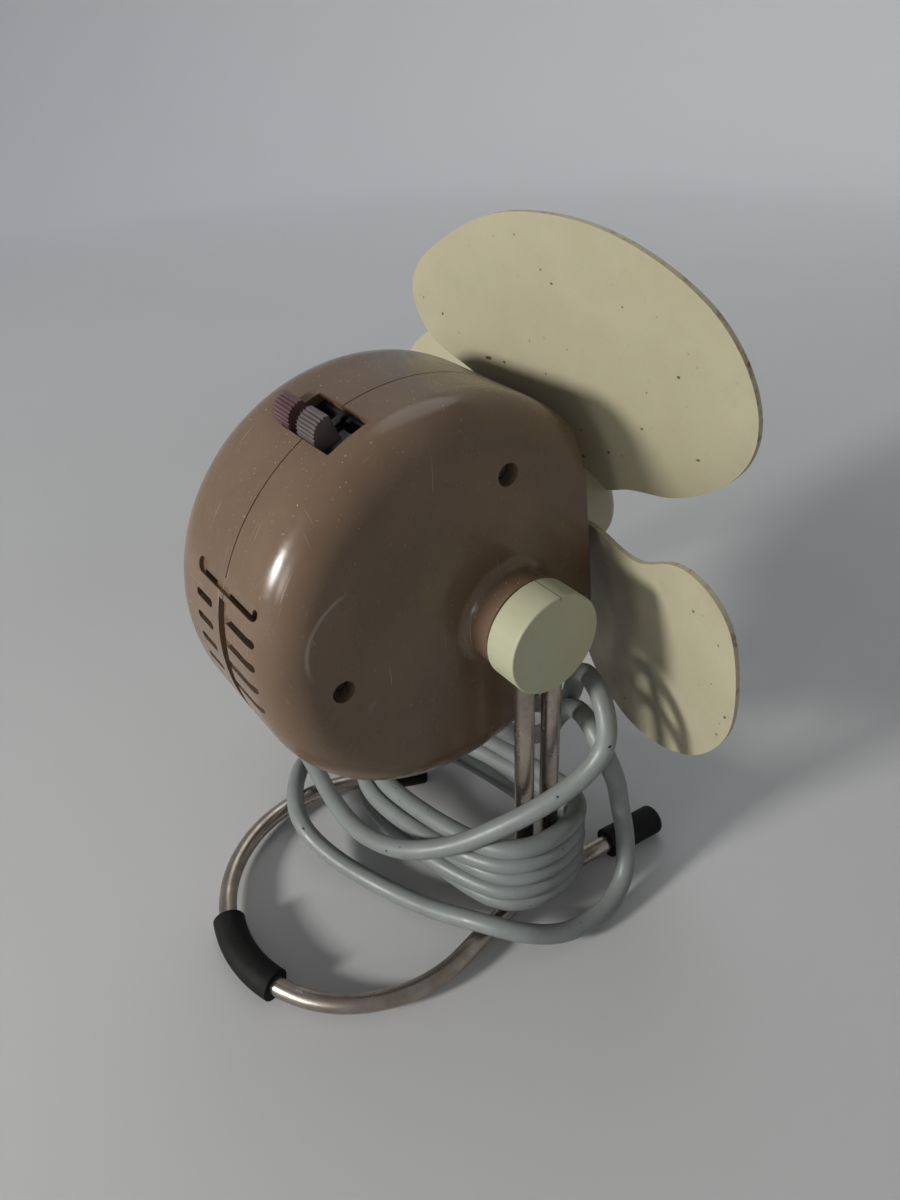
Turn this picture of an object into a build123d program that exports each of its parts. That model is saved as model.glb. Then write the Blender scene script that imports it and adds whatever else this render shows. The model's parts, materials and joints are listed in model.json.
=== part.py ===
from build123d import *
import os
from math import acos, atan2, cos, degrees, hypot, pi, radians, sin, tan

os.makedirs("parts", exist_ok=True)

# A desk fan: a drum-shaped head on a bent-rod stand. Millimetres and degrees.
# The head is modelled in its own frame: X along the drum's axis with the pivot side at -X,
# -Y the way the air blows, +Z up, origin on the drum's axis in the seam plane.
# It is then tilted about the pivot and set over the stand, whose feet stand on Z = 0.

# ---------------------------------------------------------------- driving dimensions
# Head housing
DRUM_RADIUS = 60.0
NEAR_DEPTH = 26.0            # seam plane to the pivot-side face
FAR_DEPTH = 40.0             # seam plane to the other face
NEAR_ROUND = 12.5
FAR_ROUND = 19.0
FRONT_FLAT = 46.3            # drum axis to the flat behind the impeller
FLAT_EDGE_ROUND = 1.2
WALL = 2.5
SEAM_GAP = 0.4               # fine line where the half shells meet
SEAM_DEPTH = 0.5

# Pivot and tilt
PIVOT_FORWARD = 13.4         # drum axis to pivot axis, towards the front
PIVOT_DROP = 6.7             # drum axis down to pivot axis
PIVOT_HEIGHT = 113.0         # table to pivot axis
PIVOT_Y = -14.0              # pivot axis from the stand's reference line
TILT = 6.0                   # how far the front is raised as the fan stands

# Pivot boss and what is clamped on it
BOSS_LENGTH = 9.8            # proud of the pivot-side face
BOSS_RADIUS = 14.6
BOSS_FLARE = 3.2
INSERT_RADIUS = 4.0
INSERT_LENGTH = 9.0
PIVOT_SCREW_RADIUS = 1.95
PIVOT_SCREW_REACH = 7.0      # how far the screw goes into the insert
PIVOT_HEAD_RADIUS = 4.2
PIVOT_HEAD_HEIGHT = 1.6
FRICTION_WASHER = 1.0
FRICTION_WASHER_RADIUS = 12.5
CLAMP_PLATE = 0.8
CAP_RADIUS = 15.3
CAP_WALL = 1.3
CAP_GAP = 0.5
CAP_EDGE_ROUND = 0.5

# Ventilation slots in the rear wall
SLOT_FIRST = 18.2            # angle of the top slot above straight back
SLOT_STEP = 6.7
SLOT_COUNT = 4
SLOT_WIDTH = 2.4
SLOT_NEAR_END = 17.3         # seam plane to the slots' rounded ends, pivot side
SLOT_FAR_START = 6.0
SLOT_FAR_END = 15.5
GROOVE_WIDTH = 4.2
GROOVE_DEPTH = 1.5
GROOVE_TOP = 22.4
GROOVE_BOTTOM = -48.0
SLOT_LAP = 0.9               # the pivot side's slots reach this far into the groove
CHANNEL_ANGLE = 26.2
CHANNEL_WIDTH = 4.4
CHANNEL_DEPTH = 1.2
CHANNEL_SLIT = 0.8
CHANNEL_SLIT_START = 1.5
CHANNEL_HOLE_RADIUS = 1.4

# Housing screws
SCREW_CIRCLE = 40.6
SCREW_FIRST = -2.5
SCREW_COUNT = 3
SCREW_HOLE_RADIUS = 3.3
SCREW_HEAD_RADIUS = 2.9
SCREW_HEAD_HEIGHT = 2.2
SCREW_HEAD_DEPTH = 4.5       # below the pivot-side face
SCREW_SHANK_RADIUS = 1.6
SCREW_LENGTH = 16.0
TOWER_WALL = 1.8
TOWER_FLOOR = 2.5
POST_RADIUS = 4.0

# Switch
SWITCH_ANGLE = 73.5          # above straight back
SWITCH_X = -0.5
OPENING_LENGTH = 24.0        # along the drum's axis
OPENING_WIDTH = 13.4         # around the drum
SLIDER_LENGTH = 8.4
SLIDER_WIDTH = 6.8
SLIDER_RISE = 4.3
SLIDER_PITCH = 12.9          # between the two sliders' middles
SLIDER_OVERHANG = 4.0        # the far slider's thumb reaches past the opening
SLIDER_RIBS = 7
RIB_GROOVE = 0.45
SLIDER_TRAVEL = 6.0
SLIDER_GAP = 0.3
THUMB_LIFT = 0.35            # underside of the overhanging thumb over the housing
SWITCH_LENGTH = 26.0
SWITCH_WIDTH = 17.0
SWITCH_DEPTH = 9.5
SWITCH_SEAT = 3.4            # below the housing's outside
STEM_SIDE = 3.0
STEM_DEPTH = 4.0
POCKETS = ((3.6, 11.0), (-8.0, -2.5))
POCKET_DEPTH = 3.0
TERMINAL_TAG = (1.0, 4.0, 7.0)

# Motor
STACK_REAR = 18.0            # lamination stack from here to STACK_REAR - STACK_LENGTH
STACK_LENGTH = 16.0
STACK_NEAR = 20.0
POLE_FAR = 16.0
STACK_HALF_HEIGHT = 21.0
ARM_INNER = 12.0
BAR_START = 22.5
BAR_WIDTH = 8.5
STATOR_BORE = 13.5
AIR_GAP = 0.4
END_RING = 2.5
SHAFT_RADIUS = 2.5
SHAFT_REAR = 31.0
RUNNING_CLEARANCE = 0.03
BUSH_RADIUS = 4.0
BUSH_LENGTH = 7.0
CUP_WALL = 2.2
BRACKET_THICKNESS = 1.5
BRACKET_WIDTH = 13.0
FRONT_LEG = 22.0
REAR_LEG = 7.0
LEG_RADIUS = 3.2
BOLT_OFFSET = 17.4
BOLT_RADIUS = 1.5
BOLT_HEAD_RADIUS = 2.8
BOLT_HEAD_HEIGHT = 2.0
BOBBIN_FLANGE = 1.2
BOBBIN_WALL = 1.0
COIL_THICKNESS = 4.6
SHADING_BAND = 1.6
PAD_SIDE = 7.0

# Impeller
HUB_OFFSET = 57.0            # drum axis to the middle of the blades' roots
HUB_RADIUS = 18.0
HUB_BACK = 6.5               # hub behind that middle
HUB_FRONT = 9.0
HUB_WALL = 2.0
HUB_ROUND = 4.0
HUB_CORE = 6.5
HUB_BUSH_RADIUS = 4.5
BLADE_COUNT = 3
BLADE_PHASE = 93.0           # first blade, from the pivot side upwards
BLADE_ROOT = 14.0            # from the shaft to where the root's pitch is measured
BLADE_THICKNESS = 1.6
BLADE_CONE = -6.0            # blade tips lean back
PITCH_ROOT = 17.0
PITCH_TIP = 9.0
PITCH_FADE = 16.0            # how quickly the root's pitch fades along the blade

# Stand
ROD_RADIUS = 3.0
LEG_PITCH = 10.2
FOOT_RADIUS = 5.25           # rubber on the rod
BEND_RADIUS = 9.0
RING_CENTRE = (-1.2, 31.7)
RING_RADIUS = 46.4
RING_END = -25.0             # where the ring straightens into its end
RING_TAIL = 28.5
FRONT_FOOT = (-44.5, -65.0)
SLEEVE_ANGLES = (73.0, 112.0)
FOOT_CAP_LENGTH = 22.0
FOOT_CAP_END = 2.2
RUBBER_CLEARANCE = 0.04

# Cord outlet
GLAND_RADIUS = 5.0
GLAND_FLANGE_RADIUS = 7.0
GLAND_FLANGE = 2.0
BOOT_LENGTH = 24.0
BOOT_ROOT_RADIUS = 5.6
BOOT_TIP_RADIUS = 4.3
CORD_RADIUS = 3.15
CORD_BORE_CLEARANCE = 0.05
INNER_CORD = 6.0

# Terminal block
TERMINAL_LENGTH = 18.0
TERMINAL_HEIGHT = 10.0
TERMINAL_DEPTH = 9.0
TERMINAL_Y = 17.0
TERMINAL_Z = -28.0
TERMINAL_HOLE_RADIUS = 1.6
TERMINAL_SCREW_RADIUS = 1.7

# Cord: the corners of its route between the boot and the coil, then from the coil to the plug
CORD_LEAD = (
    (80, -14, 113), (94, -12.5, 104), (101, -8, 85), (102, 0, 64), (98, 10, 46), (85, 17, 32), (66, 21, 24),
    (45, 23, 18), (23, 27, 19.5), (2, 29, 24), (-18, 25, 30.5), (-33, 14.5, 39), (-43.5, 3, 49.5),
    (-50, -8, 57), (-53.5, -19.5, 63.5), (-55, -27, 71), (-53.5, -29.5, 79), (-47, -32.5, 85.5),
    (-39, -35.5, 86), (-33, -38, 82.5), (-29, -39.5, 76.5), (-26, -40, 64), (-10, -39.5, 52), (8, -38.5, 44.5),
    (24, -35, 37.5), (40, -26, 29), (54, -12, 20), (61, 5, 12.5), (58, 21, 11.5), (45, 33, 12.7),
    (29, 39.5, 12.2), (13, 36, 6.5), (-6, 28, 3.5), (-27, 21, 7), (-44, 14, 13), (-56, 5, 12),
    (-61.5, -9, 5.5), (-62, -25, 4), (-59, -37.5, 8), (-53, -43, 20), (-50.5, -41, 36), (-53.5, -35.5, 51),
    (-55.5, -31, 60.5), (-50.5, -30, 69.5), (-42, -32, 73.5), (-33.5, -34, 71), (-27.5, -34.5, 63.5),
    (-24.5, -31.5, 53.5), (-12.5, -31, 44.5), (3, -31, 37.5), (17, -29, 32),
)
CORD_TAIL = ((24, -26, 15), (41, -27, 12), (58, -25.5, 8.5), (74, -29, 8.5))
COIL_PLAN = (
    (-50.5, -8), (-48.5, -24.5), (-38, -32.5), (-20, -32), (5, -30), (26, -25),
    (35, -9), (31, 7), (15, 14.5), (-8, 14), (-31, 9.5), (-45, 3.5),
)
COIL_WIDTH = 10.0
COIL_CORNER = 6.0
COIL_BOTTOM = 10.8
COIL_TOP = 33.0              # over the middle of the stand
COIL_SLOPE = -0.2            # the turns lie higher at the legs than at the far side
FOLD_SHARE = 0.45            # share of the shorter run that each bend takes

# Plug
PLUG_LENGTH = 30.0
PLUG_WIDTH = 27.0
PLUG_HEIGHT = 17.0
PLUG_ROUND = 5.0
PLUG_SLEEVE_LENGTH = 12.0
PLUG_SLEEVE_RADIUS = 5.5
PIN_RADIUS = 2.0
PIN_LENGTH = 19.0
PIN_SPACING = 19.0
PIN_ROOT = 8.0               # held in the plug's body
PIN_SHANK_RADIUS = 1.5

# ---------------------------------------------------------------- derived places
SEAM_BOX = 4 * DRUM_RADIUS
BOSS_FACE = -(NEAR_DEPTH + BOSS_LENGTH)
ROD_X = BOSS_FACE - FRICTION_WASHER - 0.1 - ROD_RADIUS
PLATE_X = ROD_X - ROD_RADIUS - 0.02
HEAD_SEAT_X = PLATE_X - CLAMP_PLATE
CAP_INNER_X = HEAD_SEAT_X - PIVOT_HEAD_HEIGHT - 0.2
CAP_OUTER_X = CAP_INNER_X - CAP_WALL
CAP_INNER_RADIUS = CAP_RADIUS - CAP_WALL
STACK_FRONT = STACK_REAR - STACK_LENGTH
STACK_MIDDLE = (STACK_FRONT + STACK_REAR) / 2
BAR_END = BAR_START + BAR_WIDTH
ROTOR_RADIUS = STATOR_BORE - AIR_GAP
SHAFT_BORE = SHAFT_RADIUS + 0.02
FRONT_PLATE_Y = STACK_FRONT - FRONT_LEG
REAR_PLATE_Y = STACK_REAR + REAR_LEG
BLADE_STATIONS = (4.0, 9.0, 14.0, 24.0, 36.0, 50.0, 66.0, 82.0, 98.0)

# Outline of a blade seen along the shaft: (outwards along the blade, towards its leading side)
BLADE_OUTLINE = (
    (7.0, 21.0), (13.0, -6.0), (22.0, -12.5), (31.0, -15.5), (38.5, -20.5), (45.0, -31.0),
    (51.0, -38.5), (59.5, -41.5), (69.0, -39.0), (77.0, -30.0), (84.0, -16.5), (89.0, -1.0),
    (89.8, 14.0), (87.0, 31.5), (78.5, 49.5), (69.5, 60.0), (58.0, 66.5), (45.0, 68.7),
    (32.0, 66.0), (20.6, 58.5), (11.7, 47.5), (7.2, 35.0),
)


# ---------------------------------------------------------------- helpers
def along_x(radius, start, end, y=0.0, z=0.0):
    """Round bar along X from start to end."""
    low, high = min(start, end), max(start, end)
    bar = Cylinder(radius, high - low, rotation=(0, 90, 0))
    return Pos((low + high) / 2, y, z) * bar


def along_y(radius, start, end, x=0.0, z=0.0):
    """Round bar along Y from start to end."""
    low, high = min(start, end), max(start, end)
    bar = Cylinder(radius, high - low, rotation=(90, 0, 0))
    return Pos(x, (low + high) / 2, z) * bar


def block(x_range, y_range, z_range):
    """Box between two limits on each axis."""
    size = [high - low for low, high in (x_range, y_range, z_range)]
    middle = [(low + high) / 2 for low, high in (x_range, y_range, z_range)]
    return Pos(*middle) * Box(*size)


def on_drum(angle, x=0.0, radius=DRUM_RADIUS):
    """Plane on the drum's outside: x along +X, y towards the rear and down, z outwards."""
    out = (0, cos(radians(angle)), sin(radians(angle)))
    origin = (x, radius * out[1], radius * out[2])
    return Plane(origin=origin, x_dir=(1, 0, 0), z_dir=out)


def screw_places():
    """Places of the housing screws as (y, z)."""
    for index in range(SCREW_COUNT):
        angle = radians(SCREW_FIRST + index * 360 / SCREW_COUNT)
        yield SCREW_CIRCLE * cos(angle), SCREW_CIRCLE * sin(angle)


def revolved_x(points):
    """Solid of revolution about X from a closed (x, radius) outline."""
    face = make_face(Polyline(*points, close=True))
    return revolve(face, axis=Axis.X)


# ---------------------------------------------------------------- housing
def drum(inset):
    """The drum with its rounded rims and front flat, shrunk by inset."""
    radius = DRUM_RADIUS - inset
    near, far = NEAR_DEPTH - inset, FAR_DEPTH - inset
    face = make_face(Polyline((-near, 0), (far, 0), (far, radius), (-near, radius), close=True))
    corners = face.vertices().filter_by_position(Axis.Y, radius - 0.01, radius + 0.01)
    near_corner = corners.sort_by(Axis.X)[0]
    face = fillet(near_corner, NEAR_ROUND - inset)
    far_corner = face.vertices().filter_by_position(Axis.Y, radius - 0.01, radius + 0.01).sort_by(Axis.X)[-1]
    face = fillet(far_corner, FAR_ROUND - inset)
    body = revolve(face, axis=Axis.X)
    flat = FRONT_FLAT - inset
    body -= block((-SEAM_BOX, SEAM_BOX), (-SEAM_BOX, -flat), (-SEAM_BOX, SEAM_BOX))
    return body


def flared_boss():
    """Pivot boss with a concave flare where it meets the pivot-side face."""
    root = BOSS_RADIUS + BOSS_FLARE
    face_x = -NEAR_DEPTH
    bend = BOSS_FLARE * cos(radians(45))
    flare = ThreePointArc(
        (face_x, root),
        (face_x - BOSS_FLARE + bend, root - bend),
        (face_x - BOSS_FLARE, BOSS_RADIUS),
    )
    rest = Polyline(
        (face_x - BOSS_FLARE, BOSS_RADIUS), (BOSS_FACE, BOSS_RADIUS), (BOSS_FACE, 0),
        (face_x + WALL, 0), (face_x + WALL, root), (face_x, root),
    )
    boss = revolve(make_face(flare.edges() + rest.edges()), axis=Axis.X)
    return Pos(0, -PIVOT_FORWARD, -PIVOT_DROP) * boss


def rear_slots(start, end):
    """Cutters for the row of slots, between two places along X."""
    length = end - start
    cutters = Part()
    for index in range(SLOT_COUNT):
        plane = on_drum(SLOT_FIRST - index * SLOT_STEP, (start + end) / 2)
        cutters += extrude(plane * SlotOverall(length, SLOT_WIDTH), 2 * WALL, both=True)
    return cutters


def rear_groove():
    """Cutter for the shallow groove along the seam between the slots."""
    ring = along_x(DRUM_RADIUS + WALL, -GROOVE_WIDTH / 2, GROOVE_WIDTH / 2)
    ring -= along_x(DRUM_RADIUS - GROOVE_DEPTH, -GROOVE_WIDTH, GROOVE_WIDTH)
    reach = 2 * DRUM_RADIUS
    top, bottom = radians(GROOVE_TOP), radians(GROOVE_BOTTOM)
    sector = Plane.YZ * make_face(Polyline(
        (0, 0), (reach * cos(bottom), reach * sin(bottom)), (reach * cos(top), reach * sin(top)), close=True,
    ))
    return ring & extrude(sector, GROOVE_WIDTH, both=True)


def blind_channel():
    """Cutter for the shallow channel above the slots: a narrow slit in each half, a hole at one end."""
    start, end = -SLOT_NEAR_END, SLOT_FAR_END
    middle = (start + end) / 2
    plane = on_drum(CHANNEL_ANGLE, middle, DRUM_RADIUS - CHANNEL_DEPTH)
    cutter = extrude(plane * SlotOverall(end - start, CHANNEL_WIDTH), 2 * WALL)
    low = (CHANNEL_WIDTH - CHANNEL_SLIT) / 2
    near_end = start + CHANNEL_WIDTH / 2
    for slit_start, slit_end in ((near_end, -CHANNEL_SLIT_START), (SLOT_FAR_START, end - CHANNEL_WIDTH / 2)):
        slit = Pos((slit_start + slit_end) / 2 - middle, low) * Rectangle(slit_end - slit_start, CHANNEL_SLIT)
        cutter += extrude(plane * slit, 2 * WALL, both=True)
    hole = Pos(near_end - middle, low - CHANNEL_HOLE_RADIUS + CHANNEL_SLIT / 2) * Circle(CHANNEL_HOLE_RADIUS)
    return cutter + extrude(plane * hole, 2 * WALL, both=True)


def switch_opening():
    plane = on_drum(SWITCH_ANGLE, SWITCH_X)
    outline = plane * RectangleRounded(OPENING_LENGTH, OPENING_WIDTH, 0.8)
    return extrude(outline, 2 * WALL, both=True)


def switch_cheek(side):
    """Rib inside a half shell that holds one end of the switch."""
    plane = on_drum(SWITCH_ANGLE, SWITCH_X)
    half = SWITCH_LENGTH / 2 + 0.05
    low, high = sorted((side * half, side * (half + 2.0)))
    rib = block((low, high), (-SWITCH_WIDTH / 2, SWITCH_WIDTH / 2), (-SWITCH_SEAT - SWITCH_DEPTH, 0))
    rib = plane.location * rib
    return rib & drum(WALL / 2)


def housing():
    """Both half shells."""
    outer = drum(0)
    flat_face = outer.faces().sort_by(Axis.Y)[0]
    outer = fillet(flat_face.edges(), FLAT_EDGE_ROUND)
    seam = block((-SEAM_GAP / 2, SEAM_GAP / 2), (-SEAM_BOX, SEAM_BOX), (-SEAM_BOX, SEAM_BOX))
    outer -= seam - drum(SEAM_DEPTH)
    shell = outer - drum(WALL)
    shaft_hole = along_y(SHAFT_RADIUS + 3.0, -FRONT_FLAT - 1, -FRONT_FLAT + WALL + 1)
    shell -= shaft_hole
    shell -= switch_opening()
    shell -= rear_groove()
    shell -= blind_channel()
    near = shell & block((-SEAM_BOX, 0), (-SEAM_BOX, SEAM_BOX), (-SEAM_BOX, SEAM_BOX))
    far = shell & block((0, SEAM_BOX), (-SEAM_BOX, SEAM_BOX), (-SEAM_BOX, SEAM_BOX))
    near -= rear_slots(-SLOT_NEAR_END, SLOT_LAP - GROOVE_WIDTH / 2)
    far -= rear_slots(SLOT_FAR_START, SLOT_FAR_END)

    near += flared_boss()
    near -= along_x(INSERT_RADIUS, BOSS_FACE - 1, BOSS_FACE + INSERT_LENGTH, -PIVOT_FORWARD, -PIVOT_DROP)
    near_wall, far_wall = -NEAR_DEPTH + WALL, FAR_DEPTH - WALL
    head_seat = -NEAR_DEPTH + SCREW_HEAD_DEPTH + SCREW_HEAD_HEIGHT
    joint_x = head_seat + TOWER_FLOOR
    for y, z in screw_places():
        near += along_x(SCREW_HOLE_RADIUS + TOWER_WALL, near_wall - WALL / 2, joint_x, y, z)
        near -= along_x(SCREW_HOLE_RADIUS, -NEAR_DEPTH - 1, head_seat, y, z)
        near -= along_x(SCREW_SHANK_RADIUS + 0.1, head_seat - 1, joint_x + 1, y, z)
        far += along_x(POST_RADIUS, joint_x, far_wall + WALL / 2, y, z)
        far -= along_x(SCREW_SHANK_RADIUS + 0.02, joint_x - 1, joint_x + SCREW_LENGTH, y, z)
    half_pad = PAD_SIDE / 2
    for side in (-1, 1):
        pad_z = side * (STACK_HALF_HEIGHT - half_pad)
        z_range = (pad_z - half_pad, pad_z + half_pad)
        y_range = (STACK_MIDDLE - half_pad, STACK_MIDDLE + half_pad)
        near += block((near_wall - WALL / 2, -STACK_NEAR), y_range, z_range)
        far += block((BAR_END, far_wall + WALL / 2), y_range, z_range)
    near += switch_cheek(-1)
    far += switch_cheek(1)
    far -= along_x(GLAND_RADIUS + 0.05, far_wall - 1, FAR_DEPTH + 1, -PIVOT_FORWARD, -PIVOT_DROP)
    return near, far


def housing_screws():
    head_seat = -NEAR_DEPTH + SCREW_HEAD_DEPTH + SCREW_HEAD_HEIGHT
    top = head_seat - SCREW_HEAD_HEIGHT
    screws = []
    for y, z in screw_places():
        head = along_x(SCREW_HEAD_RADIUS, top, head_seat, y, z)
        head -= Pos(top, y, z) * Box(1.6, 0.9, 4 * SCREW_HEAD_RADIUS)
        shank = along_x(SCREW_SHANK_RADIUS, head_seat, head_seat + SCREW_LENGTH, y, z)
        screws.append(head + shank)
    return Compound(children=screws)


# ---------------------------------------------------------------- pivot
def pivot_ring(outer, inner, start, end):
    """Ring about the pivot axis."""
    ring = along_x(outer, start, end)
    if inner:
        ring -= along_x(inner, min(start, end) - 1, max(start, end) + 1)
    return ring


def at_pivot(shape):
    """Head parts made about the pivot axis."""
    return Pos(0, -PIVOT_FORWARD, -PIVOT_DROP) * shape


def pivot_insert():
    reach = BOSS_FACE + INSERT_LENGTH
    return at_pivot(pivot_ring(INSERT_RADIUS - 0.01, PIVOT_SCREW_RADIUS + 0.02, BOSS_FACE, reach))


def friction_washer():
    seat = BOSS_FACE - FRICTION_WASHER
    return at_pivot(pivot_ring(FRICTION_WASHER_RADIUS, PIVOT_SCREW_RADIUS + 0.15, BOSS_FACE, seat))


def pivot_screw():
    shank = pivot_ring(PIVOT_SCREW_RADIUS, 0, HEAD_SEAT_X, BOSS_FACE + PIVOT_SCREW_REACH)
    top = HEAD_SEAT_X - PIVOT_HEAD_HEIGHT
    head = pivot_ring(PIVOT_HEAD_RADIUS, 0, top, HEAD_SEAT_X)
    head -= Pos(top, 0, 0) * Box(1.4, 1.1, 4 * PIVOT_HEAD_RADIUS)
    return at_pivot(shank + head)


def at_stand_pivot(shape):
    return Pos(0, PIVOT_Y, PIVOT_HEIGHT) * shape


def clamp_plate():
    plate = pivot_ring(CAP_INNER_RADIUS - 0.05, PIVOT_SCREW_RADIUS + 0.15, HEAD_SEAT_X, PLATE_X)
    return at_stand_pivot(plate)


def pivot_cap():
    """Cap over the pivot screw, its rim notched for the two legs of the stand."""
    rim = BOSS_FACE - CAP_GAP
    cap = along_x(CAP_RADIUS, CAP_OUTER_X, rim)
    cap = fillet(cap.faces().sort_by(Axis.X)[0].edges(), CAP_EDGE_ROUND)
    cap -= along_x(CAP_INNER_RADIUS, CAP_INNER_X, rim + 1)
    for side in (-1, 1):
        leg_y = side * LEG_PITCH / 2
        slot_radius = ROD_RADIUS + 0.15
        cap -= Pos(ROD_X, leg_y, -CAP_RADIUS / 2) * Cylinder(slot_radius, 2 * CAP_RADIUS)
        across = (leg_y - slot_radius, leg_y + slot_radius)
        cap -= block((ROD_X, rim + 1), across, (-2 * CAP_RADIUS, CAP_RADIUS / 2))
    return at_stand_pivot(cap)


# ---------------------------------------------------------------- stand
def leg_y(side):
    return PIVOT_Y + side * LEG_PITCH / 2


def ring_point(angle, radius=RING_RADIUS):
    turn = radians(angle)
    return (RING_CENTRE[0] + radius * cos(turn), RING_CENTRE[1] + radius * sin(turn), FOOT_RADIUS)


def ring_start():
    """Angle at which the rear leg's foot runs into the ring as a tangent."""
    dx, dy = ROD_X - RING_CENTRE[0], leg_y(1) - RING_CENTRE[1]
    towards_leg = degrees(atan2(dy, dx))
    return towards_leg - degrees(acos(RING_RADIUS / hypot(dx, dy)))


def ring_tail():
    """End of the ring and the end of its straight tail."""
    end = ring_point(RING_END)
    turn = radians(RING_END)
    tip = (end[0] + RING_TAIL * sin(turn), end[1] - RING_TAIL * cos(turn), FOOT_RADIUS)
    return end, tip


def rod(path, radius=ROD_RADIUS):
    """Round rod along a path."""
    section = Plane(origin=path.position_at(0), z_dir=path.tangent_at(0)) * Circle(radius)
    return sweep(section, path=path)


def front_leg_path():
    foot = (*FRONT_FOOT, FOOT_RADIUS)
    base = (ROD_X, leg_y(-1), FOOT_RADIUS)
    return FilletPolyline(foot, base, (ROD_X, leg_y(-1), PIVOT_HEIGHT), radius=BEND_RADIUS)


def stand_wire():
    hairpin = ThreePointArc(
        (ROD_X, leg_y(-1), PIVOT_HEIGHT),
        (ROD_X, PIVOT_Y, PIVOT_HEIGHT + LEG_PITCH / 2),
        (ROD_X, leg_y(1), PIVOT_HEIGHT),
    )
    start = ring_start() % 360
    rear_leg = FilletPolyline(
        (ROD_X, leg_y(1), PIVOT_HEIGHT), (ROD_X, leg_y(1), FOOT_RADIUS), ring_point(start), radius=BEND_RADIUS,
    )
    ring = ThreePointArc(ring_point(start), ring_point((start + RING_END) / 2), ring_point(RING_END))
    tail = Line(*ring_tail())
    path = Wire(front_leg_path().edges() + hairpin.edges() + rear_leg.edges() + ring.edges() + tail.edges())
    return rod(path)


def foot_sleeve():
    low, high = SLEEVE_ANGLES
    path = ThreePointArc(ring_point(high), ring_point((low + high) / 2), ring_point(low))
    return rod(path, FOOT_RADIUS) - rod(path, ROD_RADIUS + RUBBER_CLEARANCE)


def foot_cap(tip, back):
    """Rubber cap on a rod end, from the rod's tip back along it."""
    axis = Vector(*back) - Vector(*tip)
    plane = Plane(origin=tip, z_dir=axis)
    middle = (FOOT_CAP_LENGTH - FOOT_CAP_END) / 2 - FOOT_CAP_END / 2
    body = Pos(0, 0, middle) * Cylinder(FOOT_RADIUS, FOOT_CAP_LENGTH)
    body = fillet(body.faces().sort_by(Axis.Z)[0].edges(), FOOT_CAP_END * 0.8)
    body -= Pos(0, 0, FOOT_CAP_LENGTH / 2) * Cylinder(ROD_RADIUS + RUBBER_CLEARANCE, FOOT_CAP_LENGTH)
    return plane.location * body


def front_foot_cap():
    return foot_cap((*FRONT_FOOT, FOOT_RADIUS), (ROD_X, leg_y(-1), FOOT_RADIUS))


def tail_foot_cap():
    end, tip = ring_tail()
    return foot_cap(tip, end)


# ---------------------------------------------------------------- switch
def in_switch(shape):
    """Pieces made about the switch opening: x along the drum, y to the rear, z outwards."""
    return on_drum(SWITCH_ANGLE, SWITCH_X).location * shape


def slider_x(side):
    """Middle of a slider's thumb; side 1 is the far one."""
    far = OPENING_LENGTH / 2 + SLIDER_OVERHANG - SLIDER_LENGTH / 2
    return far if side > 0 else far - SLIDER_PITCH


def stem_x(side):
    """Middle of a slider's stem, which has to stay inside the opening."""
    most = OPENING_LENGTH / 2 - SLIDER_GAP - STEM_SIDE / 2 - SLIDER_GAP
    return min(slider_x(side), most)


def slider_rest_y():
    return OPENING_WIDTH / 2 - SLIDER_GAP - SLIDER_WIDTH / 2


def switch_body():
    """Twin slide switch, with a well for each slider's stem and pockets beside them."""
    seat = -SWITCH_SEAT
    half_l, half_w = SWITCH_LENGTH / 2, SWITCH_WIDTH / 2
    body = block((-half_l, half_l), (-half_w, half_w), (seat - SWITCH_DEPTH, seat))
    rest_y = slider_rest_y()
    margin = STEM_SIDE / 2 + SLIDER_GAP
    for side in (-1, 1):
        x = stem_x(side)
        y_range = (rest_y - SLIDER_TRAVEL - margin, rest_y + margin)
        body -= block((x - margin, x + margin), y_range, (seat - STEM_DEPTH - 0.6, seat + 1))
    front = -OPENING_WIDTH / 2
    for pocket in POCKETS:
        body -= block(pocket, (front + 1.0, front + 4.2), (seat - POCKET_DEPTH, seat + 1))
    body -= Pos(0.4, front + 1.5, seat) * Cylinder(1.2, 2 * POCKET_DEPTH)
    return in_switch(body)


def thumb_profile(y, floor):
    """Side view of a thumb: it rises from the housing at the rear in a quarter arc and drops at the front."""
    rear, front = y + SLIDER_WIDTH / 2, y - SLIDER_WIDTH / 2
    low, reach = THUMB_LIFT + 0.1, 0.8 * SLIDER_WIDTH
    rise = SLIDER_RISE - low
    middle = (rear - reach * (1 - cos(radians(45))), low + rise * sin(radians(45)))
    crown = ThreePointArc((rear, low), middle, (rear - reach, SLIDER_RISE))
    front_edge = (front, SLIDER_RISE - 0.6)
    rest = Polyline((rear - reach, SLIDER_RISE), front_edge, (front, floor), (rear, floor), (rear, low))
    return make_face(crown.edges() + rest.edges()), crown


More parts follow.
